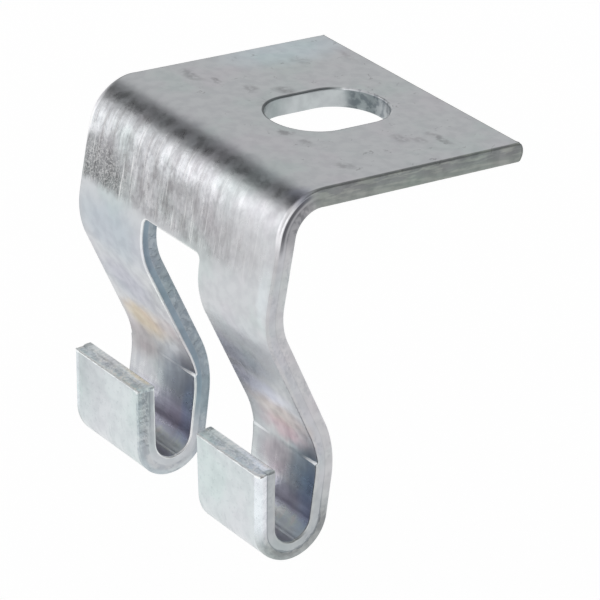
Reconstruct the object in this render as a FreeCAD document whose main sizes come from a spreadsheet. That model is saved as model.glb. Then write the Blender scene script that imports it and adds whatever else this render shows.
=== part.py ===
import FreeCAD, Part
import math
import os

import Sketcher

# A hanger clamp bent from one strip of sheet steel. A flat flange with a bolt slot turns
# down into a web, a window splits the web into two legs, and each leg sweeps back under the
# flange and turns up into a hook, so that the two hooks side by side carry a conductor.
#
# The origin is the centre of the bolt slot on the flange's top face. +Z is up, +X points
# from the web to the flange's free edge, and Y runs across the strip. The face side is the
# strip's surface on top of the flange, in front of the web and inside the hooks.

SIZES = {
    "sheet_thickness": 3.0,
    "strip_width": 45.0,
    # The flange and its slot, measured from the slot's centre.
    "slot_to_free_edge": 17.6,
    "slot_to_web": 24.1,
    "slot_off_centre": 0.75,
    "slot_length": 19.0,
    "slot_width": 13.0,
    "mill_edge_bulge": 0.6,
    # The bend radii are those of the face side.
    "flange_bend_radius": 7.0,
    "web_lean": 5.1,
    "web_length": 10.0,
    "knee_radius": 12.7,
    "knee_angle": 34.2,
    "slant_length": 15.9,
    "heel_radius": 13.7,
    "wall_lean": 2.7,
    "wall_length": 5.9,
    "hook_radius": 3.0,
    "lip_lean": 5.3,
    "lip_length": 9.4,
    # The window that splits the web into two legs. Its sides lean to the -Y side.
    "window_drop": 15.0,
    "window_width": 13.4,
    "window_off_centre": 0.3,
    "window_near_lean": 2.3,
    "window_far_lean": 1.3,
    "window_corner_radius": 0.9,
    # The cut edges are rounded on the face side and bevelled behind.
    "drawn_edge_radius": 0.35,
    "back_edge_bevel": 0.3,
}

QUARTER_TURN, HALF_TURN, FULL_TURN = 90.0, 180.0, 360.0
START, END, CENTRE = 1, 2, 3
X_AXIS = -1
TOLERANCE = 0.01
# A cut face looks mostly along Y, and tangent faces meet within the smooth turn, in degrees.
CUT_NORMAL = 0.3
SMOOTH_TURN = 20.0

# Together these reach from the flange to below the hooks.
FOOT_DEPTH = ("flange_bend_radius", "web_length", "knee_radius", "slant_length",
              "heel_radius", "wall_length", "hook_radius", "sheet_thickness")

document = FreeCAD.newDocument("hanger_clamp")


def make_sheet():
    sheet = document.addObject("Spreadsheet::Sheet", "sizes")
    for row, (name, value) in enumerate(SIZES.items(), start=1):
        sheet.set(f"A{row}", name)
        sheet.set(f"B{row}", str(value))
        sheet.setAlias(f"B{row}", name)
    document.recompute()
    return sheet


sizes = make_sheet()


def size(name):
    return float(sizes.get(name))


def add_sketch(body, name, plane_role):
    sketch = body.newObject("Sketcher::SketchObject", name)
    plane = next(item for item in body.Origin.OriginFeatures if item.Role == plane_role)
    sketch.AttachmentSupport = [(plane, "")]
    sketch.MapMode = "FlatFace"
    return sketch


def constrain(sketch, *definition, expression=None):
    index = sketch.addConstraint(Sketcher.Constraint(*definition))
    if expression:
        sketch.setExpression(f"Constraints[{index}]", expression)


class Stroke:
    """One line or arc of an outline, with its two ends in the order they are walked."""

    def __init__(self, index, first, last):
        self.index = index
        self.first = first
        self.last = last


class Outline:
    """Walks lines and tangent arcs through a sketch, turning left for a positive turn."""

    def __init__(self, sketch, start, heading):
        self.sketch = sketch
        self.point = FreeCAD.Vector(*start)
        self.heading = heading
        self.strokes = []

    def direction(self, offset=0.0):
        angle = math.radians(self.heading + offset)
        return FreeCAD.Vector(math.cos(angle), math.sin(angle), 0)

    def line(self, length):
        end = self.point + self.direction() * length
        index = self.sketch.addGeometry(Part.LineSegment(self.point, end))
        self.point = end
        return self.join(Stroke(index, START, END))

    def arc(self, radius, turn):
        side = math.copysign(QUARTER_TURN, turn)
        centre = self.point + self.direction(side) * radius
        self.heading += turn
        self.point = centre - self.direction(side) * radius
        from_angle = math.radians(self.heading - turn - side)
        to_angle = math.radians(self.heading - side)
        circle = Part.Circle(centre, FreeCAD.Vector(0, 0, 1), radius)
        if turn > 0:
            curve, ends = Part.ArcOfCircle(circle, from_angle, to_angle), (START, END)
        else:
            curve, ends = Part.ArcOfCircle(circle, to_angle, from_angle), (END, START)
        return self.join(Stroke(self.sketch.addGeometry(curve), *ends))

    def join(self, stroke):
        if self.strokes:
            before = self.strokes[-1]
            constrain(self.sketch, "Tangent", before.index, before.last, stroke.index, stroke.first)
        self.strokes.append(stroke)
        return stroke


def walk_strip(sketch, depth):
    """Draws one side of the strip, the given depth behind its face side."""
    flange_length = (size("slot_to_free_edge") - size("mill_edge_bulge")
                     + size("slot_to_web") - size("flange_bend_radius"))
    start_x = size("slot_to_free_edge") - size("mill_edge_bulge")
    heel_turn = size("knee_angle") - size("web_lean") + size("wall_lean")
    hook_turn = HALF_TURN - size("wall_lean") - size("lip_lean")
    outline = Outline(sketch, (start_x, -depth, 0), HALF_TURN)
    outline.line(flange_length)
    outline.arc(size("flange_bend_radius") - depth, QUARTER_TURN - size("web_lean"))
    outline.line(size("web_length"))
    outline.arc(size("knee_radius") - depth, size("knee_angle"))
    outline.line(size("slant_length"))
    outline.arc(size("heel_radius") + depth, -heel_turn)
    outline.line(size("wall_length"))
    outline.arc(size("hook_radius") + depth, -hook_turn)
    outline.line(size("lip_length"))
    return outline.strokes


def draw_strip_profile(sketch):
    """The strip's edge-on outline, with its length and bends held by the sheet's sizes."""
    face = walk_strip(sketch, 0.0)
    back = walk_strip(sketch, size("sheet_thickness"))
    flange, flange_bend, web, knee, slant, heel, wall, hook, lip = face
    back_flange, back_bend, _, back_knee, _, back_heel, _, back_hook, back_lip = back

    constrain(sketch, "Horizontal", flange.index)
    constrain(sketch, "PointOnObject", flange.index, START, X_AXIS)
    constrain(sketch, "DistanceX", flange.index, START, size("slot_to_free_edge") - size("mill_edge_bulge"),
              expression="sizes.slot_to_free_edge - sizes.mill_edge_bulge")
    constrain(sketch, "DistanceX", flange.index, END, size("flange_bend_radius") - size("slot_to_web"),
              expression="sizes.flange_bend_radius - sizes.slot_to_web")

    for stroke, name in ((web, "web_length"), (slant, "slant_length"),
                         (wall, "wall_length"), (lip, "lip_length")):
        constrain(sketch, "Distance", stroke.index, size(name), expression=f"sizes.{name}")

    turns = ((flange_bend, "90 - sizes.web_lean"),
             (knee, "sizes.knee_angle"),
             (heel, "sizes.knee_angle - sizes.web_lean + sizes.wall_lean"),
             (hook, "180 - sizes.wall_lean - sizes.lip_lean"))
    for stroke, expression in turns:
        curve = sketch.Geometry[stroke.index]
        sweep = curve.LastParameter - curve.FirstParameter
        constrain(sketch, "Angle", stroke.index, sweep, expression=expression)

    bends = ((flange_bend, back_bend, "flange_bend_radius", -1),
             (knee, back_knee, "knee_radius", -1),
             (heel, back_heel, "heel_radius", 1),
             (hook, back_hook, "hook_radius", 1))
    for inner, outer, name, sign in bends:
        behind = size(name) + sign * size("sheet_thickness")
        constrain(sketch, "Radius", inner.index, size(name), expression=f"sizes.{name}")
        constrain(sketch, "Radius", outer.index, behind,
                  expression=f"sizes.{name} + {sign} * sizes.sheet_thickness")
        constrain(sketch, "Coincident", outer.index, CENTRE, inner.index, CENTRE)

    constrain(sketch, "Horizontal", back_flange.index)
    close_lip_end(sketch, lip, back_lip)
    close_free_edge(sketch, flange, back_flange)
    return face, back


def close_lip_end(sketch, lip, back_lip):
    tip = sketch.getPoint(lip.index, END)
    back_tip = sketch.getPoint(back_lip.index, END)
    cap = sketch.addGeometry(Part.LineSegment(tip, back_tip))
    constrain(sketch, "Coincident", cap, START, lip.index, END)
    constrain(sketch, "Coincident", cap, END, back_lip.index, END)
    constrain(sketch, "Perpendicular", cap, lip.index)
    constrain(sketch, "Parallel", lip.index, back_lip.index)


def close_free_edge(sketch, flange, back_flange):
    """The strip's as-rolled edge bulges out in a shallow arc."""
    top = sketch.getPoint(flange.index, START)
    bottom = sketch.getPoint(back_flange.index, START)
    crown = (top + bottom) * 0.5 + FreeCAD.Vector(size("mill_edge_bulge"), 0, 0)
    cap = sketch.addGeometry(Part.Arc(bottom, crown, top))
    constrain(sketch, "Coincident", cap, START, back_flange.index, START)
    constrain(sketch, "Coincident", cap, END, flange.index, START)
    constrain(sketch, "Vertical", flange.index, START, back_flange.index, START)
    radius = size("sheet_thickness") ** 2 / (8 * size("mill_edge_bulge")) + size("mill_edge_bulge") / 2
    constrain(sketch, "Radius", cap, radius,
              expression="sizes.sheet_thickness * sizes.sheet_thickness / (8 * sizes.mill_edge_bulge)"
                         " + sizes.mill_edge_bulge / 2")


def draw_slot(sketch):
    reach = (size("slot_length") - size("slot_width")) / 2
    radius = size("slot_width") / 2
    up = FreeCAD.Vector(0, 0, 1)
    right = sketch.addGeometry(Part.ArcOfCircle(
        Part.Circle(FreeCAD.Vector(reach, 0, 0), up, radius), -math.pi / 2, math.pi / 2))
    left = sketch.addGeometry(Part.ArcOfCircle(
        Part.Circle(FreeCAD.Vector(-reach, 0, 0), up, radius), math.pi / 2, 1.5 * math.pi))
    far = sketch.addGeometry(Part.LineSegment(
        FreeCAD.Vector(reach, radius, 0), FreeCAD.Vector(-reach, radius, 0)))
    near = sketch.addGeometry(Part.LineSegment(
        FreeCAD.Vector(-reach, -radius, 0), FreeCAD.Vector(reach, -radius, 0)))
    constrain(sketch, "Tangent", right, END, far, START)
    constrain(sketch, "Tangent", far, END, left, START)
    constrain(sketch, "Tangent", left, END, near, START)
    constrain(sketch, "Tangent", near, END, right, START)
    constrain(sketch, "PointOnObject", left, CENTRE, X_AXIS)
    constrain(sketch, "Symmetric", right, CENTRE, left, CENTRE, X_AXIS, START)
    constrain(sketch, "Radius", right, radius, expression="sizes.slot_width / 2")
    constrain(sketch, "DistanceX", left, CENTRE, right, CENTRE, 2 * reach,
              expression="sizes.slot_length - sizes.slot_width")


def draw_window(sketch):
    """A window open at the foot, with rounded top corners and two leaning sides."""
    middle = size("slot_off_centre") + size("window_off_centre")
    radius = size("window_corner_radius")
    reach = size("window_width") / 2 - radius
    depth = sum(size(name) for name in FOOT_DEPTH)
    far_heading = QUARTER_TURN - size("window_far_lean")
    near_heading = FULL_TURN - QUARTER_TURN - size("window_near_lean")

    outline = Outline(sketch, (middle + reach + radius, -depth, 0), far_heading)
    far = outline.line(depth - size("window_drop") - radius)
    far_corner = outline.arc(radius, HALF_TURN - far_heading)
    top = outline.line(2 * reach)
    near_corner = outline.arc(radius, near_heading - HALF_TURN)
    near = outline.line(depth - size("window_drop") - radius)
    foot = sketch.addGeometry(Part.LineSegment(
        sketch.getPoint(near.index, END), sketch.getPoint(far.index, START)))
    constrain(sketch, "Coincident", foot, START, near.index, END)
    constrain(sketch, "Coincident", foot, END, far.index, START)

    constrain(sketch, "Horizontal", foot)
    constrain(sketch, "Horizontal", top.index)
    constrain(sketch, "DistanceY", foot, START, -depth,
              expression="-(" + " + ".join(f"sizes.{name}" for name in FOOT_DEPTH) + ")")
    constrain(sketch, "DistanceY", top.index, START, -size("window_drop"),
              expression="-sizes.window_drop")
    constrain(sketch, "Angle", far.index, math.radians(far_heading),
              expression="90 - sizes.window_far_lean")
    constrain(sketch, "Angle", near.index, math.radians(near_heading - FULL_TURN),
              expression="-90 - sizes.window_near_lean")
    corners = ((far_corner, reach, "+"), (near_corner, -reach, "-"))
    for corner, offset, sign in corners:
        constrain(sketch, "Radius", corner.index, radius, expression="sizes.window_corner_radius")
        constrain(sketch, "DistanceX", corner.index, CENTRE, middle + offset,
                  expression="sizes.slot_off_centre + sizes.window_off_centre"
                             f" {sign} (sizes.window_width / 2 - sizes.window_corner_radius)")


def side_curves(sketch, strokes):
    """The lines and arcs of one side of the strip, as they lie in the plane Y = 0."""
    side = Part.Compound([sketch.Geometry[stroke.index].toShape() for stroke in strokes])
    side.Placement = sketch.Placement
    return side


def sharp_edges(shape, side):
    """Names of the long cut edges that border the given side of the strip."""
    names = []
    for number, edge in enumerate(shape.Edges, start=1):
        middle = edge.valueAt((edge.FirstParameter + edge.LastParameter) / 2)
        in_profile = Part.Vertex(FreeCAD.Vector(middle.x, 0, middle.z))
        if side.distToShape(in_profile)[0] > TOLERANCE:
            continue
        faces = shape.ancestorsOfType(edge, Part.Face)
        normals = [face.normalAt(*face.Surface.parameter(middle)) for face in faces]
        cut_beside = any(abs(normal.y) > CUT_NORMAL for normal in normals)
        is_sharp = math.degrees(normals[0].getAngle(normals[1])) > SMOOTH_TURN
        if is_sharp and (cut_beside or is_slot_rim(middle) or is_window_top(middle)):
            names.append(f"Edge{number}")
    return names


def is_slot_rim(point):
    in_flange = point.z > -size("sheet_thickness") - TOLERANCE
    return in_flange and abs(point.x) < size("slot_length") / 2 + TOLERANCE


def is_window_top(point):
    between_legs = abs(point.y - size("slot_off_centre")) < size("window_width") / 2
    return between_legs and abs(point.z + size("window_drop")) < size("window_corner_radius")


def dress_edges(body, kind, name, side):
    """Rounds or bevels the long cut edges on one side of the strip."""
    base = body.Tip
    edging = body.newObject(kind, name)
    edging.Base = (base, sharp_edges(base.Shape, side))
    return edging


def cut_through(body, name, sketch):
    pocket = body.newObject("PartDesign::Pocket", name)
    pocket.Profile = sketch
    return pocket


def make_hanger():
    body = document.addObject("PartDesign::Body", "hanger")
    body.Label = "hanger"

    profile = add_sketch(body, "strip_profile", "XZ_Plane")
    face, back = draw_strip_profile(profile)
    strip = body.newObject("PartDesign::Pad", "strip")
    strip.Profile = profile
    strip.SideType = "Two sides"
    strip.setExpression("Length", "sizes.strip_width / 2 - sizes.slot_off_centre")
    strip.setExpression("Length2", "sizes.strip_width / 2 + sizes.slot_off_centre")

    slot_outline = add_sketch(body, "slot_outline", "XY_Plane")
    draw_slot(slot_outline)
    slot = cut_through(body, "slot", slot_outline)
    slot.setExpression("Length", "sizes.sheet_thickness * 2")

    window_outline = add_sketch(body, "window_outline", "YZ_Plane")
    draw_window(window_outline)
    window = cut_through(body, "window", window_outline)
    window.SideType = "Two sides"
    window.Type = "ThroughAll"
    window.Type2 = "ThroughAll"
    document.recompute()

    rounding = dress_edges(body, "PartDesign::Fillet", "drawn_edges", side_curves(profile, face))
    rounding.setExpression("Radius", "sizes.drawn_edge_radius")
    document.recompute()
    bevel = dress_edges(body, "PartDesign::Chamfer", "back_edges", side_curves(profile, back))
    bevel.setExpression("Size", "sizes.back_edge_bevel")
    document.recompute()
    return body


def check(body):
    for item in document.Objects:
        if "Invalid" in item.State or "Error" in item.State:
            raise RuntimeError(f"{item.Name} failed: {item.State}")
    if body.Shape.isNull() or not body.Shape.isValid():
        raise RuntimeError(f"{body.Label} has no valid shape")


hanger = make_hanger()
check(hanger)
os.makedirs("parts", exist_ok=True)
hanger.Shape.exportStep(f"parts/{hanger.Label}.step")
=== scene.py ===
import bisect
import math

import bpy
from mathutils import Matrix, Vector, noise


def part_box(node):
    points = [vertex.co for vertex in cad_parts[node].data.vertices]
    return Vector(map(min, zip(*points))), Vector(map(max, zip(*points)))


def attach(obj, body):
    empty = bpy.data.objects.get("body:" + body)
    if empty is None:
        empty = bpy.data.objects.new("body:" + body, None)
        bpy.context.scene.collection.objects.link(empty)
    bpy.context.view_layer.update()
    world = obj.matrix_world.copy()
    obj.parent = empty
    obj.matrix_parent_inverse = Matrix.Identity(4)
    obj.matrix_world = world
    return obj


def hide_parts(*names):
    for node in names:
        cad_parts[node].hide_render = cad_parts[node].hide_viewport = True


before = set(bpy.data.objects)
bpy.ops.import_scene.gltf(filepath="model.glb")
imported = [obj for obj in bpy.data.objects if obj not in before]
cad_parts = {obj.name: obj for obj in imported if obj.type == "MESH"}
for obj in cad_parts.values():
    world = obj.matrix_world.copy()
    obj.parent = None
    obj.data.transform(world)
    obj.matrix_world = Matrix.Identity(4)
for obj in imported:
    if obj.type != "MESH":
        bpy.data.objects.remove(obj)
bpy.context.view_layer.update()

MM = 0.001
LOW, HIGH = (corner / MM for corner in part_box("hanger"))

# The strip, in millimetres. Its width and reach come from the frame.
THICKNESS = 3.0
NEAR_Y, FAR_Y = LOW.y, HIGH.y
FREE_EDGE_X = HIGH.x
MILL_BULGE = 0.6
WEB_X = -24.1
BEND_RADIUS = 7.0
WEB_LEAN = 5.1
WEB_LENGTH = 10.0
KNEE_RADIUS, KNEE_ANGLE = 12.7, 34.2
SLANT_LENGTH = 15.9
HEEL_RADIUS = 13.7
WALL_LEAN = 2.7
WALL_LENGTH = 5.9
HOOK_RADIUS = 3.0
LIP_LEAN = 5.3
LIP_LENGTH = 9.4
SLOT_LENGTH, SLOT_WIDTH = 19.0, 13.0
WINDOW_TOP = -15.0
WINDOW_NEAR_Y, WINDOW_FAR_Y = -5.65, 7.75
WINDOW_NEAR_LEAN, WINDOW_FAR_LEAN = 2.3, 1.3
WINDOW_CORNER = 0.9

# Mesh spacing, in millimetres and degrees.
STEP = 0.5
LIP_STEP = 0.25
ARC_STEP = 3.0
COLUMN_STEP = 0.6
SUPPORT = 0.12


class Station:
    """One place along the strip: its face-side point in XZ and the normal into the sheet."""

    def __init__(self, travel, point, heading):
        angle = math.radians(heading)
        self.travel = travel
        self.point = point
        self.inward = Vector((-math.sin(angle), math.cos(angle)))

    def at(self, depth):
        return self.point + self.inward * depth


def polar(length, degrees):
    angle = math.radians(degrees)
    return Vector((length * math.cos(angle), length * math.sin(angle)))


def strip_bends():
    """Straight runs and turns from the free edge to the lip, as length or (radius, turn)."""
    flange = FREE_EDGE_X - MILL_BULGE - WEB_X - BEND_RADIUS
    return (flange, (BEND_RADIUS, 90 - WEB_LEAN), WEB_LENGTH, (KNEE_RADIUS, KNEE_ANGLE),
            SLANT_LENGTH, (HEEL_RADIUS, WEB_LEAN - KNEE_ANGLE - WALL_LEAN), WALL_LENGTH,
            (HOOK_RADIUS, WALL_LEAN + LIP_LEAN - 180), LIP_LENGTH)


# The places of four of the runs in strip_bends.
BEND_RUN, WEB_RUN, HOOK_RUN, LIP_RUN = 1, 2, 7, 8


def strip_path():
    """Stations along the strip's face side, and the travel at which each run starts."""
    travel, heading = 0.0, 180.0
    point = Vector((FREE_EDGE_X - MILL_BULGE, 0.0))
    stations, starts = [Station(travel, point, heading)], []
    for run in strip_bends():
        starts.append(travel)
        straight = isinstance(run, float)
        length = run if straight else run[0] * math.radians(abs(run[1]))
        steps = math.ceil(length / (LIP_STEP if run == LIP_LENGTH else STEP))
        if not straight:
            steps = max(steps, math.ceil(abs(run[1]) / ARC_STEP))
            side = math.copysign(90.0, run[1])
            centre = point + polar(run[0], heading + side)
        for step in range(1, steps + 1):
            part = step / steps
            if straight:
                place, turned = point + polar(length * part, heading), heading
            else:
                turned = heading + run[1] * part
                place = centre - polar(run[0], turned + side)
            stations.append(Station(travel + length * part, place, turned))
        travel += length
        point = stations[-1].point
        heading += 0.0 if straight else run[1]
    return stations, starts


STATIONS, RUN_STARTS = strip_path()
TRAVELS = [station.travel for station in STATIONS]
END_TRAVEL = TRAVELS[-1]


def station_at(travel):
    """The station at any travel, between the two nearest ones."""
    after = min(max(bisect.bisect_left(TRAVELS, travel), 1), len(STATIONS) - 1)
    before, behind = STATIONS[after - 1], STATIONS[after]
    part = (travel - before.travel) / (behind.travel - before.travel)
    station = Station(travel, before.point.lerp(behind.point, part), 0.0)
    station.inward = before.inward.lerp(behind.inward, part).normalized()
    return station


def travel_at_height(height, run):
    """The travel at which the middle of the sheet passes a height, on one straight run."""
    start = station_at(RUN_STARTS[run]).at(THICKNESS / 2)
    end = station_at(RUN_STARTS[run + 1]).at(THICKNESS / 2)
    part = (height - start.y) / (end.y - start.y)
    return RUN_STARTS[run] + part * (RUN_STARTS[run + 1] - RUN_STARTS[run])


WINDOW_TRAVEL = travel_at_height(WINDOW_TOP, WEB_RUN)


def corner_rounding(travel):
    into_corner = max(0.0, WINDOW_CORNER - (travel - WINDOW_TRAVEL))
    return into_corner, math.sqrt(max(0.0, WINDOW_CORNER ** 2 - into_corner ** 2))


def window_lines(travel):
    """The straight lines that the window's two sides follow."""
    drop = WINDOW_TOP - station_at(travel).at(THICKNESS / 2).y
    near = WINDOW_NEAR_Y - drop * math.tan(math.radians(WINDOW_NEAR_LEAN))
    far = WINDOW_FAR_Y - drop * math.tan(math.radians(WINDOW_FAR_LEAN))
    return near, far


def window_sides(travel):
    """The window's two cut edges, with the rounded corners at its top."""
    near, far = window_lines(travel)
    rounding = WINDOW_CORNER - corner_rounding(travel)[1]
    return near + rounding, far - rounding


def blend(value, start, end, low=0.0, high=1.0):
    """A smooth step from low to high as the value goes from start to end."""
    part = min(1.0, max(0.0, (value - start) / (end - start)))
    return low + (high - low) * part * part * (3 - 2 * part)


class Edge:
    """The section of one kind of cut or rolled edge, in millimetres.

    The face side is rounded by an amount in and an amount deep, and so is the back. Between
    them the cut runs through the flat places, each with how far in it lies.
    """

    def __init__(self, face, flats, back):
        self.face = face
        self.flats = flats
        self.back = back

    def rounding(self, travel):
        return self.face[0], self.back[0]

    def point(self, index, travel):
        face_in, back_in = self.rounding(travel)
        if index <= ARC_PARTS:
            angle = index / ARC_PARTS * math.pi / 2
            return face_in * (1 - math.sin(angle)), self.face[1] * (1 - math.cos(angle))
        index -= ARC_PARTS
        flat = THICKNESS - self.face[1] - self.back[1]
        if index <= len(FLAT_PLACES):
            return self.flats[index - 1], self.face[1] + flat * FLAT_PLACES[index - 1]
        index -= len(FLAT_PLACES)
        angle = (1 - index / ARC_PARTS) * math.pi / 2
        start = self.flats[-1]
        inset = start + (back_in - start) * (1 - math.sin(angle))
        return inset, THICKNESS - self.back[1] * (1 - math.cos(angle))


class RolledEdge(Edge):
    """The strip's long outer edge, drawn in further at the bend and along the lips."""

    def rounding(self, travel):
        away = abs(travel - BEND_ROLL_MIDDLE)
        bend = blend(away, BEND_ROLL_REACH, BEND_ROLL_FULL, 0.0, BEND_ROLL_IN)
        drawn = blend(travel, RUN_STARTS[HOOK_RUN], RUN_STARTS[LIP_RUN], self.back[0], LIP_ROLL_IN)
        return self.face[0] + bend, drawn


# A section has this many parts on each rounding, and its flat places between them as shares of
# the flat's depth. An edge is its face side's rounding, its flats and its back's rounding.
ARC_PARTS = 5
FLAT_PLACES = (0.1, 0.22, 0.34, 0.42, 0.5, 0.56, 0.64, 0.76, 0.88, 1.0)
SECTION_COUNT = 2 * ARC_PARTS + len(FLAT_PLACES) + 1
LIP_ROLL_IN = 1.2
BEND_ROLL_IN = 0.55
BEND_ROLL_MIDDLE = 41.3
BEND_ROLL_REACH, BEND_ROLL_FULL = 7.0, 2.5
PLAIN = (0.0,) * len(FLAT_PLACES)
GROOVED = (0.0, 0.0, 0.0, 0.02, 0.06, 0.02, 0.0, 0.0, 0.0, 0.02)
TORN = (0.0, 0.0, 0.0, 0.05, 0.07, 0.09, 0.11, 0.15, 0.20, 0.26)
CHIPPED = (0.0, 0.0, 0.01, 0.02, 0.02, 0.03, 0.04, 0.05, 0.06, 0.08)
EDGES = {
    "rolled": RolledEdge((0.35, 0.3), GROOVED, (0.45, 0.35)),
    "flange": Edge((0.4, 0.35), PLAIN, (0.4, 0.35)),
    "window": Edge((0.3, 0.3), TORN, (0.55, 0.4)),
    "lip": Edge((0.25, 0.25), CHIPPED, (0.3, 0.25)),
    "free": Edge((0.3, 0.3), PLAIN, (0.3, 0.3)),
    "slot": Edge((0.35, 0.25), PLAIN, (0.2, 0.15)),
}


class Pattern:
    """The strip's flat pattern: points as (travel, across), quads, and rims on its outline."""

    def __init__(self):
        self.points = []
        self.quads = []
        self.rims = {}
        self.supports = {}

    def add(self, travel, across):
        self.points.append(Vector((travel, across)))
        return len(self.points) - 1

    def rim(self, index, direction, kind):
        self.rims.setdefault(index, []).append((Vector(direction).normalized(), kind))

    def support(self, index, axis, edge, way, kind):
        """This point lies just inside an edge, so along one axis it follows the rounding."""
        self.supports.setdefault(index, []).append((axis, edge, way, kind))

    def fill(self, upper, lower):
        for left in range(len(upper) - 1):
            self.quads.append((upper[left], upper[left + 1], lower[left + 1], lower[left]))


def even(start, end, step):
    count = max(1, math.ceil(abs(end - start) / step))
    return [start + (end - start) * index / count for index in range(count + 1)]


# The columns of the near leg: even ones, and two to each side in a margin along the edge.
MARGIN = 2.4
LEG_MODEL = [NEAR_Y, NEAR_Y + MARGIN / 2]
LEG_MODEL += even(NEAR_Y + MARGIN, WINDOW_NEAR_Y - MARGIN, COLUMN_STEP)
LEG_MODEL += [WINDOW_NEAR_Y - MARGIN / 2, WINDOW_NEAR_Y]


def leg_row(outer, inner):
    """The columns across one leg, closer together at its two edges."""
    span = WINDOW_NEAR_Y - NEAR_Y
    return [outer + (place - NEAR_Y) / span * (inner - outer) for place in LEG_MODEL]


def outer_kind(travel):
    return "flange" if travel < RUN_STARTS[BEND_RUN] else "rolled"


def body_rows(pattern, travels):
    near, far = window_sides(WINDOW_TRAVEL)
    near_line, far_line = window_lines(WINDOW_TRAVEL)
    places = leg_row(NEAR_Y, near_line)[:-1] + even(near, far, COLUMN_STEP)
    places += leg_row(FAR_Y, far_line)[-2::-1]
    rows = [[pattern.add(travel, across) for across in places] for travel in travels]
    for row, travel in zip(rows, travels):
        kind = outer_kind(travel)
        near_end, far_end = (row[0], row[1], NEAR_Y, -1), (row[-1], row[-2], FAR_Y, 1)
        for rim, inside, edge, side in (near_end, far_end):
            pattern.rim(rim, (0, side), kind)
            pattern.support(inside, 1, edge, side, kind)
    for index, inside in zip(rows[0], rows[1]):
        pattern.rim(index, (-1, 0), "free")
        pattern.support(inside, 0, 0.0, -1, "free")
    legs = len(LEG_MODEL)
    for index, inside in list(zip(rows[-1], rows[-2]))[legs - 1:1 - legs]:
        pattern.rim(index, (1, 0), "window")
        pattern.support(inside, 0, WINDOW_TRAVEL, 1, "window")
    return rows


def leg_rows(pattern, first_row, outer, travels, side):
    """One leg's rows below the window's top. The side is -1 for the near leg, 1 for the far."""
    rows = [first_row]
    inner = 0 if side < 0 else 1
    for travel in travels:
        places = leg_row(outer, window_lines(travel)[inner])[:-1] + [window_sides(travel)[inner]]
        row = [pattern.add(travel, across) for across in places]
        pattern.rim(row[0], (0, side), "rolled")
        pattern.support(row[1], 1, outer, side, "rolled")
        into_corner, aside = corner_rounding(travel)
        pattern.rim(row[-1], (into_corner, -side * aside), "window")
        rows.append(row)
    for row, travel in zip(rows, [WINDOW_TRAVEL] + travels):
        pattern.support(row[-2], 1, window_lines(travel)[inner], -side, "window")
        pattern.support(row[-2], 0, travel, corner_rounding(travel)[0] / WINDOW_CORNER, "window")
    for index, inside in zip(rows[-1], rows[-2]):
        pattern.rim(index, (1, 0), "lip")
        pattern.support(inside, 0, END_TRAVEL, 1, "lip")
    for upper, lower in zip(rows, rows[1:]):
        if side < 0:
            pattern.fill(upper, lower)
        else:
            pattern.fill(upper[::-1], lower[::-1])


SLOT_TRAVEL = FREE_EDGE_X - MILL_BULGE
SLOT_MARGIN = 2.2
RING_PARTS = (0.25, 0.5, 0.68, 0.8, 1.0)


def slot_ring(pattern, loop, part):
    """The loop's points moved part of the way to the slot's rim, and their directions to it."""
    reach = (SLOT_LENGTH - SLOT_WIDTH) / 2
    ring, directions = [], []
    for index in loop:
        point = pattern.points[index]
        along = max(-reach, min(reach, point.x - SLOT_TRAVEL))
        middle = Vector((SLOT_TRAVEL + along, 0.0))
        outward = (point - middle).normalized()
        place = point.lerp(middle + outward * SLOT_WIDTH / 2, part)
        ring.append(pattern.add(place.x, place.y))
        directions.append(-outward)
    return ring, directions


def cut_slot(pattern, rows):
    """Leaves a block of columns out of the rows, and fills it with rings round the slot."""
    half_length = SLOT_LENGTH / 2 + SLOT_MARGIN
    half_width = SLOT_WIDTH / 2 + SLOT_MARGIN
    travels = [pattern.points[row[0]].x for row in rows]
    places = [pattern.points[index].y for index in rows[0]]
    first_row = bisect.bisect_right(travels, SLOT_TRAVEL - half_length) - 1
    last_row = bisect.bisect_left(travels, SLOT_TRAVEL + half_length)
    first = bisect.bisect_right(places, -half_width) - 1
    last = bisect.bisect_left(places, half_width)
    for number, (upper, lower) in enumerate(zip(rows, rows[1:])):
        if first_row <= number < last_row:
            pattern.fill(upper[:first + 1], lower[:first + 1])
            pattern.fill(upper[last:], lower[last:])
        else:
            pattern.fill(upper, lower)
    loop = rows[first_row][first:last] + [row[last] for row in rows[first_row:last_row]]
    loop += rows[last_row][last:first:-1]
    loop += [row[first] for row in rows[last_row:first_row:-1]]
    outer = loop
    for part in RING_PARTS:
        ring, directions = slot_ring(pattern, loop, part)
        pattern.fill(outer + outer[:1], ring + ring[:1])
        outer = ring
    for index, direction in zip(outer, directions):
        pattern.rim(index, direction, "slot")


def with_marks(travels, ledge):
    """The rows of one leg, with pairs of rows at the ledge and at the hook's ridge."""
    for mark in (ledge, RIDGE_TRAVEL):
        pair = [mark - LEDGE_LIP / 2, mark + LEDGE_LIP / 2]
        travels = sorted([travel for travel in travels if abs(travel - mark) > LEDGE_LIP] + pair)
    return travels


# The even rows stop short of the free edge, of both sides of the window's top and of the lips'
# ends. The last row before the window's top and before the lips' ends has a place of its own.
FREE_EDGE_GAP = 0.8
WINDOW_GAP, WINDOW_LAST_ROW = 1.6, 1.2
CORNER_GAP = 0.2
LIP_GAP, LIP_LAST_ROW = 0.7, 0.5
CORNER_PARTS = 6


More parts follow.
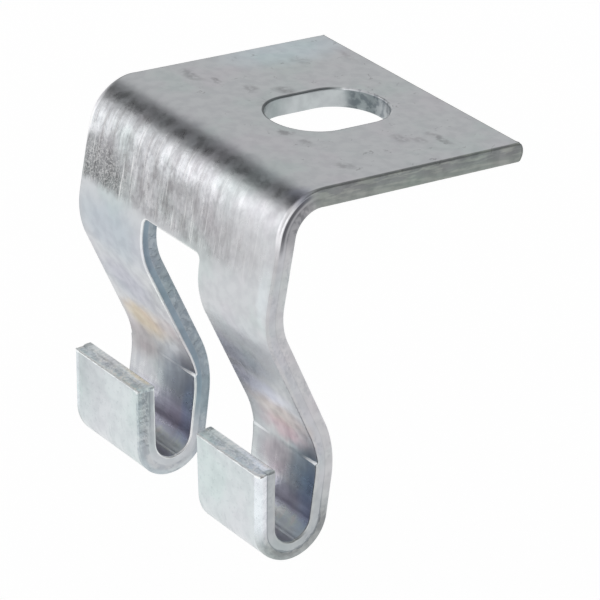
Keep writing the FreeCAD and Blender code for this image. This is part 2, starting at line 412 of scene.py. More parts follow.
def strip_pattern():
    pattern = Pattern()
    body = [-MILL_BULGE, 0.0]
    body += [travel for travel in TRAVELS if FREE_EDGE_GAP < travel < WINDOW_TRAVEL - WINDOW_GAP]
    body += [WINDOW_TRAVEL - WINDOW_LAST_ROW, WINDOW_TRAVEL]
    rows = body_rows(pattern, body)
    cut_slot(pattern, rows)
    turns = [step * math.pi / (2 * CORNER_PARTS) for step in range(1, CORNER_PARTS + 1)]
    legs = [WINDOW_TRAVEL + WINDOW_CORNER * (1 - math.cos(turn)) for turn in turns]
    start, end = legs[-1] + CORNER_GAP, END_TRAVEL - LIP_GAP
    legs += [travel for travel in TRAVELS if start < travel < end]
    legs += [END_TRAVEL - LIP_LAST_ROW, END_TRAVEL]
    leg_columns = len(LEG_MODEL)
    near_leg = with_marks(legs, NEAR_LEDGE)
    far_leg = with_marks(legs, FAR_LEDGE)
    leg_rows(pattern, rows[-1][:leg_columns], NEAR_Y, near_leg, -1)
    leg_rows(pattern, rows[-1][-leg_columns:][::-1], FAR_Y, far_leg, 1)
    return pattern


# The forming tool's shoulder left a small ledge across the face side of each leg. It has a
# travel for the near leg and the far one, and depths at a leg's -Y edge, middle and other edge.
NEAR_LEDGE, FAR_LEDGE = 83.2, 82.3
LEDGE_LIP = 0.16
LEDGE_REACH = 6.0
LEDGE_DEPTHS = (0.38, 0.05, 0.14)
LEDGE_EDGE = 4.0


def ledge_depth(travel, across):
    near, far = window_sides(travel)
    if across > (near + far) / 2:
        low, high = far, FAR_Y
        ledge = FAR_LEDGE
    else:
        low, high = NEAR_Y, near
        ledge = NEAR_LEDGE
    if not ledge - LEDGE_REACH < travel < ledge + LEDGE_LIP:
        return 0.0
    at_low, middle, at_high = LEDGE_DEPTHS
    depth = middle + (at_low - middle) * blend(across - low, LEDGE_EDGE, 0.0)
    depth += (at_high - middle) * blend(high - across, LEDGE_EDGE, 0.0)
    above = (ledge - travel) / LEDGE_REACH
    if above < 0:
        return depth * max(0.0, 1 + above * LEDGE_REACH / (LEDGE_LIP / 2)) / 2
    return depth * (1 - above) ** 2


# Inside the hook the tool's end left a low ridge.
RIDGE_TURN = 76.0
RIDGE_START = 56.0
RIDGE_HEIGHT = 0.11
RIDGE_TRAVEL = RUN_STARTS[HOOK_RUN] + HOOK_RADIUS * math.radians(RIDGE_TURN)


def ridge_height(travel):
    """How far the inside of the hook stands in from the round bend."""
    turned = math.degrees((travel - RUN_STARTS[HOOK_RUN]) / HOOK_RADIUS)
    if not RIDGE_START < turned < RIDGE_TURN:
        return 0.0
    return RIDGE_HEIGHT * ((turned - RIDGE_START) / (RIDGE_TURN - RIDGE_START)) ** 2


# The strip isn't quite flat: shallow swells on both sides, in millimetres.
SWELL = 0.025
SWELL_SIZE = 0.11
FACE_SEED, BACK_SEED = 1.0, 7.0
# The marks of one side reach this deep, and the swells keep off the strip's ends.
SIDE_DEPTH = 1.2
SWELL_MARGIN = 1.0


def swell(travel, across, seed):
    return SWELL * noise.noise(Vector((travel * SWELL_SIZE, across * SWELL_SIZE, seed)))


def strip_point(travel, across, depth):
    station = station_at(travel)
    on_face = max(0.0, 1 - depth / SIDE_DEPTH)
    on_back = max(0.0, 1 - (THICKNESS - depth) / SIDE_DEPTH)
    shift = on_face * (ledge_depth(travel, across) - ridge_height(travel))
    inside = station.at(depth + shift)
    if THICKNESS > depth > 0 or not SWELL_MARGIN < travel < END_TRAVEL - SWELL_MARGIN:
        on_face = on_back = 0.0
    inside += station.inward * SWELL * (on_face - on_back)
    swells = on_face * swell(travel, across, FACE_SEED)
    swells += on_back * swell(travel, across, BACK_SEED)
    inside += station.inward * swells
    return Vector((inside.x, across, inside.y)) * MM


def bulge_inset(depth):
    """How far the mill-rounded free edge curves back from its crest."""
    radius = THICKNESS ** 2 / (8 * MILL_BULGE) + MILL_BULGE / 2
    return radius - math.sqrt(radius ** 2 - (depth - THICKNESS / 2) ** 2)


# The three kinds of cut face that the finish tells apart: torn, drawn along, and dull.
TORN_KINDS = ("window", "lip")
DRAWN_KINDS = ("rolled", "slot")
DULL_KINDS = {"flange": 1.0, "free": 1.0}
# The rolled edge turns dull towards the flange, between these travels.
DULL_START, DULL_FULL = 40.0, 34.0

# Torn cut faces are uneven between these depths, and off their rounded edges. The window's
# sides are marked by the tool along the lips, and the lips' ends are uneven a second time.
TORN_START, TORN_FULL = 1.0, 1.5
TORN_MARGIN = 0.3
TORN_DEPTH = 0.05
TORN_SIZE = 1.6
CHATTER_DEPTH = 0.07
CHATTER_PITCH = 0.8
CHATTER_WANDER, CHATTER_SIZE = 2, 0.4
LIP_TORN_SHARE, LIP_TORN_SIZE = 1.5, 2.3


def torn(kind, travel, across, depth):
    """How far a torn cut face lies behind its mean."""
    if kind not in TORN_KINDS or not TORN_MARGIN < depth < THICKNESS - TORN_MARGIN:
        return 0.0
    rough = blend(depth, TORN_START, TORN_FULL)
    place = Vector((travel * TORN_SIZE, across * TORN_SIZE, depth * TORN_SIZE))
    inset = rough * TORN_DEPTH * (1 + noise.noise(place))
    if kind == "window" and travel > RUN_STARTS[LIP_RUN]:
        wander = CHATTER_WANDER * noise.noise(place * CHATTER_SIZE)
        wave = math.sin(2 * math.pi * travel / CHATTER_PITCH + depth + wander)
        inset += rough * CHATTER_DEPTH * (1 + wave) / 2
    if kind == "lip":
        again = noise.noise(place * LIP_TORN_SIZE)
        inset += rough * LIP_TORN_SHARE * TORN_DEPTH * (1 + again)
    return inset


class Skin:
    """The strip's vertices with their place in the pattern and the kind of cut they lie on."""

    def __init__(self, pattern):
        self.vertices = []
        self.places = []
        self.cuts = []
        self.faces = []
        columns = {index: self.column(pattern, index) for index in range(len(pattern.points))}
        borders = set()
        for quad in pattern.quads:
            self.faces.append([columns[index][0] for index in quad])
            self.faces.append([columns[index][-1] for index in reversed(quad)])
            borders.update(zip(quad, quad[1:] + quad[:1]))
        for start, end in sorted(borders):
            if (end, start) not in borders:
                self.wall(columns[start], columns[end])

    def put(self, travel, across, depth, cut):
        self.vertices.append(strip_point(travel, across, depth))
        self.places.append((travel, across, depth))
        self.cuts.append(cut)
        return len(self.vertices) - 1

    def column(self, pattern, index):
        point = pattern.points[index]
        rims = pattern.rims.get(index)
        if rims:
            return [self.rim_point(point, rims, number) for number in range(SECTION_COUNT)]
        column = []
        for back, depth in enumerate((0.0, THICKNESS)):
            place = point.copy()
            for axis, edge, way, kind in pattern.supports.get(index, ()):
                rounding = EDGES[kind].rounding(point.x)[back]
                place[axis] = edge - way * (rounding + SUPPORT)
            column.append(self.put(place.x, place.y, depth, (0.0, 0.0, 0.0)))
        return column

    def rim_point(self, point, rims, number):
        place = point.copy()
        depths = []
        cut = [0.0, 0.0, 0.0]
        for direction, kind in rims:
            inset, depth = EDGES[kind].point(number, point.x)
            if kind == "free":
                inset += bulge_inset(depth)
            inset += torn(kind, point.x, point.y, depth)
            place -= direction * inset
            depths.append(depth)
            if 0 < number < SECTION_COUNT - 1:
                dull = DULL_KINDS.get(kind, 0.0)
                if kind == "rolled":
                    dull = blend(point.x, DULL_START, DULL_FULL)
                cut[0] = max(cut[0], float(kind in TORN_KINDS))
                cut[1] = max(cut[1], float(kind in DRAWN_KINDS) * (1 - dull))
                cut[2] = max(cut[2], dull)
        return self.put(place.x, place.y, sum(depths) / len(depths), tuple(cut))

    def wall(self, left, right):
        for number in range(SECTION_COUNT - 1):
            self.faces.append((left[number], left[number + 1], right[number + 1], right[number]))


def make_strip():
    skin = Skin(strip_pattern())
    mesh = bpy.data.meshes.new("strip")
    mesh.from_pydata(skin.vertices, [], skin.faces)
    mesh.validate()
    for name, values in (("place", skin.places), ("cut", skin.cuts)):
        attribute = mesh.attributes.new(name, "FLOAT_VECTOR", "POINT")
        attribute.data.foreach_set("vector", [number for value in values for number in value])
    mesh.shade_smooth()
    strip = bpy.data.objects.new("strip", mesh)
    bpy.context.scene.collection.objects.link(strip)
    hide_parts("hanger")
    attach(strip, "root")
    return strip


strip = make_strip()


# The photograph's viewpoint, solved from the strip's outline. The turns are yaw, pitch and roll.
CAMERA_TURNS = (-39.24, 25.08, 5.15)
CAMERA_PLACE = (-305.93, -372.30, 195.86)
FOCUS_PIXELS, IMAGE_PIXELS = 3729.4, 600
SENSOR_WIDTH = 36.0
CLIP_START, CLIP_END = 0.01, 20.0


def make_camera():
    yaw, pitch, roll = (math.radians(angle) for angle in CAMERA_TURNS)
    data = bpy.data.cameras.new("camera")
    data.sensor_width = SENSOR_WIDTH
    data.lens = FOCUS_PIXELS * SENSOR_WIDTH / IMAGE_PIXELS
    data.clip_start, data.clip_end = CLIP_START, CLIP_END
    camera = bpy.data.objects.new("camera", data)
    turn = Matrix.Rotation(yaw, 3, "Z") @ Matrix.Rotation(math.pi / 2 - pitch, 3, "X")
    turn = turn @ Matrix.Rotation(roll, 3, "Z")
    place = Matrix.Translation(Vector(CAMERA_PLACE) * MM)
    camera.matrix_world = place @ turn.to_4x4()
    bpy.context.scene.collection.objects.link(camera)
    bpy.context.scene.camera = camera


make_camera()


# Soft ovals fade between these shares of their reach, and the finish's marks wander by a noise
# of their own, so that they aren't plain ovals.
SPOT_EDGE, SPOT_CORE = 1.3, 0.3
WANDER = 3.0
WANDER_SIZE, WANDER_DETAIL = 0.35, 3.0
NOISE_MIDDLE = 0.5


class Graph:
    """Short calls for the nodes of one material or world."""

    def __init__(self, tree):
        self.nodes = tree.nodes
        self.links = tree.links

    def feed(self, socket, value):
        if isinstance(value, bpy.types.NodeSocket):
            self.links.new(value, socket)
        elif isinstance(value, tuple) and socket.type == "RGBA":
            socket.default_value = (*value, 1.0)
        else:
            socket.default_value = value

    def math(self, operation, first, second=0.0):
        node = self.nodes.new("ShaderNodeMath")
        node.operation = operation
        self.feed(node.inputs[0], first)
        self.feed(node.inputs[1], second)
        return node.outputs[0]

    def emission(self, strength):
        node = self.nodes.new("ShaderNodeEmission")
        self.feed(node.inputs["Strength"], strength)
        return node.outputs[0]

    def diffuse(self, share):
        node = self.nodes.new("ShaderNodeBsdfDiffuse")
        self.feed(node.inputs["Color"], (share, share, share))
        return node.outputs[0]

    def choose(self, factor, first, second):
        """The second shader where the factor is one, and else the first."""
        node = self.nodes.new("ShaderNodeMixShader")
        for socket, value in zip(node.inputs, (factor, first, second)):
            self.feed(socket, value)
        return node.outputs[0]

    def distance(self, first, second):
        return self.math("ABSOLUTE", self.math("SUBTRACT", first, second))

    def vector(self, operation, first, second=(0.0, 0.0, 0.0)):
        node = self.nodes.new("ShaderNodeVectorMath")
        node.operation = operation
        self.feed(node.inputs[0], first)
        self.feed(node.inputs[1], second)
        return node.outputs["Value" if operation in ("LENGTH", "DOT_PRODUCT") else "Vector"]

    def ramp(self, value, start, end, low=0.0, high=1.0):
        node = self.nodes.new("ShaderNodeMapRange")
        node.interpolation_type = "SMOOTHSTEP"
        self.feed(node.inputs["Value"], value)
        limits = {"From Min": start, "From Max": end, "To Min": low, "To Max": high}
        for name, number in limits.items():
            self.feed(node.inputs[name], number)
        return node.outputs["Result"]

    def noise(self, place, stretch, detail, shift):
        node = self.nodes.new("ShaderNodeTexNoise")
        spread = self.vector("MULTIPLY", place, stretch)
        self.feed(node.inputs["Vector"], self.vector("ADD", spread, (shift, shift, shift)))
        node.inputs["Scale"].default_value = 1.0
        node.inputs["Detail"].default_value = detail
        return node.outputs["Fac"]

    def mix(self, factor, first, second, blend_type="MIX"):
        node = self.nodes.new("ShaderNodeMix")
        node.data_type = "RGBA"
        node.blend_type = blend_type
        colours = [socket for socket in node.inputs if socket.type == "RGBA"]
        self.feed(node.inputs["Factor"], factor)
        self.feed(colours[0], first)
        self.feed(colours[1], second)
        return next(socket for socket in node.outputs if socket.type == "RGBA")

    def spot(self, place, middle, reach):
        """One in the middle of a soft oval on the strip, and none outside it."""
        away = self.vector("SUBTRACT", place, (*middle, 0.0))
        away = self.vector("MULTIPLY", away, (1 / reach[0], 1 / reach[1], 0.0))
        return self.ramp(self.vector("LENGTH", away), SPOT_EDGE, SPOT_CORE)

    def attribute(self, name):
        node = self.nodes.new("ShaderNodeAttribute")
        node.attribute_name = name
        return node.outputs["Vector"]

    def split(self, vector):
        node = self.nodes.new("ShaderNodeSeparateXYZ")
        self.feed(node.inputs[0], vector)
        return node.outputs[0], node.outputs[1], node.outputs[2]

    def wander(self, place):
        """The place, moved about by a noise."""
        node = self.nodes.new("ShaderNodeTexNoise")
        size = (WANDER_SIZE, WANDER_SIZE, 0.0)
        self.feed(node.inputs["Vector"], self.vector("MULTIPLY", place, size))
        node.inputs["Scale"].default_value = 1.0
        node.inputs["Detail"].default_value = WANDER_DETAIL
        middle = (NOISE_MIDDLE, NOISE_MIDDLE, NOISE_MIDDLE)
        shift = self.vector("SUBTRACT", node.outputs["Color"], middle)
        shift = self.vector("MULTIPLY", shift, (WANDER, WANDER, 0.0))
        return self.vector("ADD", place, shift)


# The floor shines white to the camera and to the zinc, and keeps a soft shadow. The rest of the
# light sees it as pale paper.
FLOOR_SIZE = 4.0
FLOOR_DROP = 60.0
FLOOR_GLOW, FLOOR_SHARE = 0.825, 0.30
PAPER_SHARE = 0.85
MIRRORED_GLOW = 1.0


def make_floor():
    height = (LOW.z - FLOOR_DROP) * MM
    bpy.ops.mesh.primitive_plane_add(size=FLOOR_SIZE, location=(0, 0, height))
    floor = bpy.context.object
    floor.name = "floor"
    material = bpy.data.materials.new("floor")
    material.use_nodes = True
    material.node_tree.nodes.clear()
    graph = Graph(material.node_tree)
    ray = graph.nodes.new("ShaderNodeLightPath").outputs
    seen = graph.nodes.new("ShaderNodeAddShader")
    graph.feed(seen.inputs[0], graph.emission(FLOOR_GLOW))
    graph.feed(seen.inputs[1], graph.diffuse(FLOOR_SHARE))
    paper, mirrored = graph.diffuse(PAPER_SHARE), graph.emission(MIRRORED_GLOW)
    unseen = graph.choose(ray["Is Glossy Ray"], paper, mirrored)
    view = graph.choose(ray["Is Camera Ray"], unseen, seen.outputs[0])
    output = graph.nodes.new("ShaderNodeOutputMaterial")
    graph.feed(output.inputs["Surface"], view)
    floor.data.materials.append(material)


make_floor()

# The studio round the object: a level, and softer zones that are brighter or darker than it.
# Each zone has its middle's direction, the angles where it fades, and how much it adds.
STUDIO_LEVEL = 0.62
STUDIO_ZONES = (
    ((-0.22, 0.70, 0.68), 6, 25, -0.57),
    ((-0.70, 0.70, 0.08), 8, 32, 0.72),
    ((-0.62, -0.62, 0.10), 8, 36, 0.80),
    ((0.35, -0.75, 0.50), 12, 42, -0.42),
)


def make_world():
    world = bpy.data.worlds.new("studio")
    world.use_nodes = True
    graph = Graph(world.node_tree)
    direction = graph.nodes.new("ShaderNodeTexCoord").outputs["Generated"]
    total = STUDIO_LEVEL
    for middle, inner, outer, amount in STUDIO_ZONES:
        dot = graph.vector("DOT_PRODUCT", direction, tuple(Vector(middle).normalized()))
        start, end = math.cos(math.radians(outer)), math.cos(math.radians(inner))
        total = graph.math("ADD", graph.ramp(dot, start, end, 0.0, amount), total)
    background = graph.nodes["Background"]
    graph.feed(background.inputs["Strength"], total)
    graph.feed(background.inputs["Color"], (1.0, 1.0, 1.0))
    bpy.context.scene.world = world


make_world()
bpy.context.scene.view_settings.view_transform = "Standard"

# The zinc's plain colour and roughness, its stains, and the painted highlights, painted shade
# and painted reflections on it. Places are (travel, across) on the flat strip, in millimetres,
# with how far each mark reaches both ways, its tint and its strength.
ZINC = (0.655, 0.673, 0.692)
ROUGHNESS = 0.33
ROUGHNESS_LIMIT = 0.7
STAIN_TINT = (0.48, 0.47, 0.48)
STAINS = (
    ((27.2, 18.7), (1.3, 2.2), 0.55),
    ((25.1, 15.6), (0.7, 1.0), 0.75),
    ((22.3, 11.0), (1.3, 1.7), 0.55),
    ((18.3, 8.2), (1.5, 1.4), 0.65),
    ((24.0, 4.5), (1.6, 2.6), 0.35),
    ((27.7, -4.3), (1.2, 1.3), 0.75),
    ((27.3, -8.4), (0.9, 1.6), 0.45),
    ((27.0, -16.9), (1.3, 1.8), 0.45),
    ((14.3, -12.8), (1.5, 2.0), 0.45),
    ((12.2, -14.6), (1.2, 1.2), 0.40),
    ((9.2, -15.3), (0.9, 2.6), 0.65),
    ((2.2, 15.2), (0.6, 3.0), 0.30),
    ((9.4, 16.5), (1.6, 1.4), 0.30),
)
# Painted highlights, painted shade and painted reflections: brighter, darker and coloured ovals on
# the face side.
PAINTED_LIGHT_SPOTS = (
    ((43.6, 21.5), (2.2, 3.6), (1.25, 1.25, 1.25), 0.80),
    ((38.0, -3.0), (2.0, 30.0), (0.76, 0.77, 0.79), 0.90),
    ((49.0, -2.0), (4.6, 20.0), (0.76, 0.74, 0.74), 0.85),
    ((38.0, -13.0), (1.8, 4.0), (1.25, 1.25, 1.26), 0.80),
    ((42.6, -4.0), (2.2, 16.0), (1.22, 1.20, 1.21), 0.85),
    ((47.0, -15.0), (4.0, 5.5), (1.12, 1.10, 1.10), 0.60),
    ((62.1, -15.0), (4.2, 8.5), (0.99, 1.02, 1.03), 0.80),
    ((68.0, -9.5), (2.8, 9.0), (0.85, 0.87, 0.95), 0.90),
    ((73.4, -12.0), (2.6, 8.0), (1.10, 1.10, 1.22), 0.90),
    ((58.5, 15.5), (6.0, 9.5), (0.81, 0.87, 0.92), 0.90),
    ((68.5, 16.5), (5.0, 7.0), (0.75, 0.75, 0.84), 0.85),
    ((76.4, 17.0), (3.6, 5.4), (1.02, 0.82, 0.62), 1.00),
    ((75.0, 10.5), (2.8, 3.4), (1.00, 0.90, 0.86), 0.80),
    ((81.5, 19.5), (3.6, 5.6), (0.70, 0.62, 0.62), 0.90),
    ((84.0, 11.5), (4.8, 5.4), (0.66, 0.68, 0.75), 0.95),
    ((77.2, -15.0), (2.8, 7.0), (0.94, 0.83, 0.78), 0.95),
    ((80.4, -14.6), (2.2, 5.6), (1.00, 0.76, 0.80), 0.95),
    ((85.8, -12.6), (3.2, 4.6), (0.76, 0.66, 0.70), 0.95),
    ((85.3, -18.8), (4.4, 3.8), (0.56, 0.61, 0.70), 0.95),
    ((37.6, -20.8), (2.0, 2.6), (0.70, 0.72, 0.80), 0.80),
    ((9.0, 20.5), (12.0, 5.0), (1.08, 1.17, 1.21), 0.90),
    ((88.5, -21.2), (6.5, 3.0), (0.84, 0.98, 1.16), 0.90),
    ((88.5, 8.2), (6.0, 2.0), (0.84, 0.98, 1.16), 0.80),
    ((90.9, 14.5), (3.4, 9.0), (1.34, 1.30, 1.44), 0.90),
    ((91.2, -14.5), (3.0, 9.0), (1.36, 1.34, 1.44), 0.95),
    ((94.4, 10.0), (2.3, 10.0), (1.40, 1.46, 1.44), 1.00),
    ((53.5, -20.4), (4.8, 1.3), (1.14, 1.18, 1.18), 0.80),
    ((94.4, -18.0), (2.3, 10.0), (1.40, 1.46, 1.44), 1.00),
    ((97.4, -15.0), (2.2, 14.0), (0.78, 0.72, 0.78), 0.80),
    ((97.4, 12.0), (2.2, 14.0), (0.78, 0.72, 0.78), 0.80),
)
RUBBED_PATCH = ((49.6, 19.2), (5.0, 7.5))

# A painted highlight along a ledge's edge: its travel, the place across, the reach and how much.
LEDGE_HIGHLIGHT_SPOTS = (
    (NEAR_LEDGE, -21.0, 2.6, 1.0),
    (NEAR_LEDGE, -8.6, 2.2, 0.6),
    (FAR_LEDGE, 8.6, 2.4, 1.0),
    (FAR_LEDGE, 13.5, 2.5, 0.3),
)
LEDGE_HIGHLIGHT_COLOUR = (0.96, 0.98, 1.0)
LEDGE_HIGHLIGHT_REACH = 9.0
LEDGE_LINE_EDGE, LEDGE_LINE_CORE = 0.24, 0.10

# Noises, with this many features to the millimetre along, across and deep, a detail and a shift.
NOISES = {
    "clouds": ((0.09, 0.09, 0.09), 3.0, 0.0),
    "mottle": ((0.55, 0.55, 0.55), 4.0, 11.0),
    "dry": ((0.5, 0.5, 0.5), 2.0, 5.0),
    "blotch": ((1.1, 1.1, 1.1), 5.0, 23.0),
    "drying": ((0.24, 0.24, 0.24), 4.0, 31.0),
    "ragged": ((0.8, 0.8, 0.8), 3.0, 3.0),
    "streaks": ((0.14, 1.5, 1.0), 4.0, 17.0),
    "grain": ((1.5, 2.2, 1.9), 4.0, 41.0),
    "patches": ((0.34, 0.50, 0.4), 4.0, 53.0),
    "curls": ((1.5, 1.7, 1.0), 2.0, 61.0),
    "scratches": ((0.09, 3.0, 1.0), 3.0, 57.0),
    "lines": ((0.06, 0.7, 0.5), 3.0, 71.0),
    "bands": ((0.75, 0.03, 0.5), 3.0, 67.0),
    "specks": ((1.9, 1.9, 1.9), 3.0, 83.0),
    "layers": ((0.35, 0.35, 2.2), 4.0, 91.0),
    "lumps": ((0.9, 0.9, 0.9), 4.0, 107.0),
    "wear": ((0.2, 0.2, 0.6), 3.0, 97.0),
    "fine": ((1.3, 1.3, 1.3), 3.0, 101.0),
}

# Masks are products. Each part is a plain number, another value's name, or a smooth step: the
# value's name, where the step starts and ends, and what it gives there if not 0 and 1. Travels
# and depths are in millimetres.
MASKS = {
    "face": (("depth", 1.2, 0.4),),
    "back": (("depth", 1.8, 2.6),),
    "tinted": ("face", "off_cuts"),
    "outlines": (("drying_line", 0.012, 0.003, 0.0, 0.55), ("dry", 0.56, 0.64)),
    # The bend and the upper web were drawn over the tool, as far as the window's top.
    "drawn": (("ragged_travel", 38.6, 43.2), ("ragged_travel", 53.8, 52.2), "face", "skin",
              ("across", NEAR_Y, 4.0, 0.15, 1.0)),
    "legs": (("travel", 76.0, 86.0), "face", "skin"),
    "hook_inside": ("face", "skin", ("travel", 84.0, 90.0), ("travel", 93.6, 91.6, -0.5, 1.0)),
    "lip": (("travel", 92.0, 97.0), "back"),
    "lip_roll": (("travel", 98.5, 101.5), "drawn_cut", ("depth", 1.4, 1.7)),
    "coarse": (("lumps", 0.58, 0.40),),
    # The strip's long cut edges, and parts of them.
    "edge": ("drawn_cut", ("travel", 33.0, 36.0)),
    "at_bend": (("travel", 33.0, 38.0), ("travel", 48.0, 43.5)),
    "bend_back": ("edge", "at_bend", ("depth", 1.2, 1.5)),
    "hook_foot": ("edge", ("travel", 88.0, 92.0), ("travel", 101.0, 98.0), ("depth", 1.4, 1.7)),
    "ragged_seam": (("travel", 88.0, 93.0, 0.0, 0.25), ("travel", 99.0, 96.0),
                    ("grain", 0.44, 0.60)),
    # The slot's wall.
    "slot_wall": ("drawn_cut", ("travel", 30.0, 28.0)),
    "slot_rim": ("slot_wall", ("depth", 0.36, 0.24)),
    # The torn cuts: the lips' ends, and what is broken rough on them and in the window.
    "lip_end": ("torn_cut", ("travel", END_TRAVEL - 0.65, END_TRAVEL - 0.45)),
    "fracture": ("torn_cut", ("depth", 1.2, 1.5)),
}
OFF_CUTS = ("travel", 84.0, 80.0)
RAGGED = 1.6
SLOT_ENDS = (("travel", 10.6, 8.8), ("travel", 22.5, 26.0, 0.0, 0.5))
STAIN_PARTS = ("face", ("travel", 33.0, 30.0))
STAIN_BREAKS = ("blotch", 0.28, 0.56)
SEAM_DEPTH = 1.5

# The flange's cut face goes from one olive to the next, with pale layers; the band along the
# long edges has one shade, and another at the bend.
OLIVE_DEPTHS = ("depth", 0.9, 2.4)
OLIVE_FACE, OLIVE_BACK = (0.41, 0.42, 0.41), (0.47, 0.50, 0.46)
OLIVE_LAYERS, OLIVE_PALE = ("layers", 0.44, 0.62), (0.56, 0.58, 0.53)
BAND_SHADE, BEND_SHADE = (0.95, 0.96, 0.98), (0.62, 0.62, 0.63)

# Layers of colour, in their order: whether a layer tints or covers what is below, its colour,
# and the parts of its mask.
TINT, COVER = "MULTIPLY", "MIX"
# Soft clouds over everything, and a finer mottle.
CLOUD_LAYERS = (
    (TINT, (0.955, 1.0, 0.98), ("clouds", 0.5, 0.36)),
    (TINT, (1.015, 0.985, 1.0), ("clouds", 0.52, 0.66)),
    (TINT, (0.90, 0.90, 0.91), ("mottle", 0.40, 0.62, 0.0, 0.5)),
)
# Streaks, grain, patches and scratches where the strip was drawn over the tool.
DRAWN_LAYERS = (
    (TINT, (0.82, 0.81, 0.81), "drawn", ("streaks", 0.56, 0.38)),
    (TINT, (0.84, 0.84, 0.85), "drawn", ("grain", 0.50, 0.38)),
    (TINT, (1.12, 1.12, 1.12), "drawn", ("grain", 0.54, 0.66)),
    (TINT, (0.80, 0.79, 0.79), "drawn", ("patches", 0.52, 0.40)),
    (TINT, (1.16, 1.15, 1.15), "drawn", ("patches", 0.52, 0.64)),
    (TINT, (0.44, 0.44, 0.44), "rubbed"),
    (COVER, (0.85, 0.85, 0.85), ("curl_line", 0.05, 0.02, 0.0, 0.45), "rubbed"),
    (COVER, (0.93, 0.93, 0.93), ("scratches", 0.62, 0.67), "drawn", 0.6),
)
# Faint lines along the legs, and bands inside the hooks.
LEG_LAYERS = (
    (TINT, (0.88, 0.88, 0.90), "legs", ("lines", 0.60, 0.42, 0.0, 0.8)),
    (TINT, (0.80, 0.80, 0.83), ("travel", 86.0, 89.0), "face", ("bands", 0.58, 0.40), "skin",
     ("travel", 94.0, 92.5, 0.0, 0.7)),
)
# The lips' outsides are a little paler and speckled, and the rolled band along their outer edge
# has a painted highlight.
LIP_LAYERS = (
    (TINT, (1.10, 1.145, 1.135), "lip"),
    (TINT, (0.80, 0.82, 0.82), "lip", ("across", 12.0, 22.0), ("travel", 99.0, 107.0)),
    (TINT, (1.50, 1.47, 1.52), "lip_roll"),
    (TINT, (0.86, 0.88, 0.88), "lip", ("specks", 0.56, 0.70, 0.0, 0.7)),
)
# The flange's cut face is dull and olive. The long edges are dull towards the face side and
# torn below a ragged seam, and at the bend they have a painted highlight along the rounded rim,
# a groove and a dark back.
EDGE_LAYERS = (
    (TINT, "olive", "dull_cut"),
    (TINT, (1.55, 1.55, 1.55), "drawn_cut", "at_bend", ("depth", 0.38, 0.30)),
    (TINT, (0.90, 0.875, 0.875), "edge"),
    (TINT, (0.86, 0.90, 0.885), "edge", ("travel", 84.0, 90.0, 0.0, 0.9)),
    (TINT, (0.60, 0.60, 0.61), "bend_back"),
    (TINT, (0.66, 0.66, 0.67), "bend_back", "coarse"),
    (TINT, (0.34, 0.34, 0.36), "edge", "at_bend", ("depth", 0.35, 0.48), ("depth", 1.15, 0.80)),
    (TINT, "band_shade", "edge", ("depth", 0.35, 0.5), ("depth", 1.6, 1.3)),
    (TINT, (0.88, 0.89, 0.90), "edge", ("wear", 0.45, 0.6), ("grain", 0.54, 0.40)),
    (TINT, (0.62, 0.64, 0.67), ("seam_distance", 0.12, 0.04), "edge",
     ("travel", 82.0, 93.0, 0.25, 1.0)),
    (TINT, (0.78, 0.78, 0.77), "hook_foot"),
    (TINT, (0.74, 0.74, 0.75), "hook_foot", "coarse"),
)
# The slot's wall has a painted shade along its rim on one side, a painted highlight along it on
# the other, and darker ends.
SLOT_LAYERS = (
    (TINT, (0.84, 0.87, 0.86), "slot_wall"),
    (TINT, (0.45, 0.45, 0.46), "slot_rim", ("travel", 10.4, 12.4)),
    (COVER, (0.95, 0.96, 0.97), "slot_rim", ("travel", 10.6, 9.8)),
    (TINT, (0.66, 0.67, 0.68), "slot_wall", ("travel", 17.0, 23.0)),
    (TINT, (0.48, 0.50, 0.53), "slot_wall", "slot_ends", ("coarse", 0.0, 1.0, 0.45, 1.0)),
)
# The torn cuts are burnished dark first and rough after. The window's cut has a painted
# highlight on its face-side rounding, and the lips' ends are lightened as a painted highlight,
# with a paler painted highlight along their outer edge.
TORN_LAYERS = (
    (TINT, (0.40, 0.49, 0.56), "window_cut", ("depth", 0.28, 0.42), ("depth", 1.5, 1.2),
     ("travel", 94.0, 84.0, 0.15, 1.0)),
    (TINT, (1.42, 1.40, 1.36), "window_cut", ("depth", 0.30, 0.22)),
    (TINT, (0.66, 0.73, 0.77), "fracture", ("travel", 98.0, 86.0)),
    (TINT, (0.82, 0.84, 0.87), "fracture", "coarse"),
    (TINT, (0.84, 0.86, 0.86), "lip_end", ("grain", 0.56, 0.42)),
    (TINT, (1.50, 1.53, 1.51), "lip_end"),
    (COVER, (0.96, 0.97, 0.97), "lip_end", ("depth", 2.45, 2.7), 0.8),
)

# What adds up to the roughness, and to the relief in millimetres.
ROUGHNESS_PARTS = (
    (("mottle", 0.3, 0.7, ROUGHNESS - 0.05, ROUGHNESS + 0.07),),
    ("drawn", ("grain", 0.4, 0.6, -0.08, 0.06)),
    ("hook_inside", -0.15),
    ("lip_roll", -0.12),
    ("fracture", 0.15),
    ("dull_cut", 0.15),
)
RELIEF_PARTS = (
    ("fine", 0.018),
    ("drawn", ("streaks", 0.36, 0.66), 0.012),
    ("drawn", ("grain", 0.36, 0.64), 0.008),
    ("fracture", "coarse", 0.06),
    ("legs", "lines", 0.02),
)


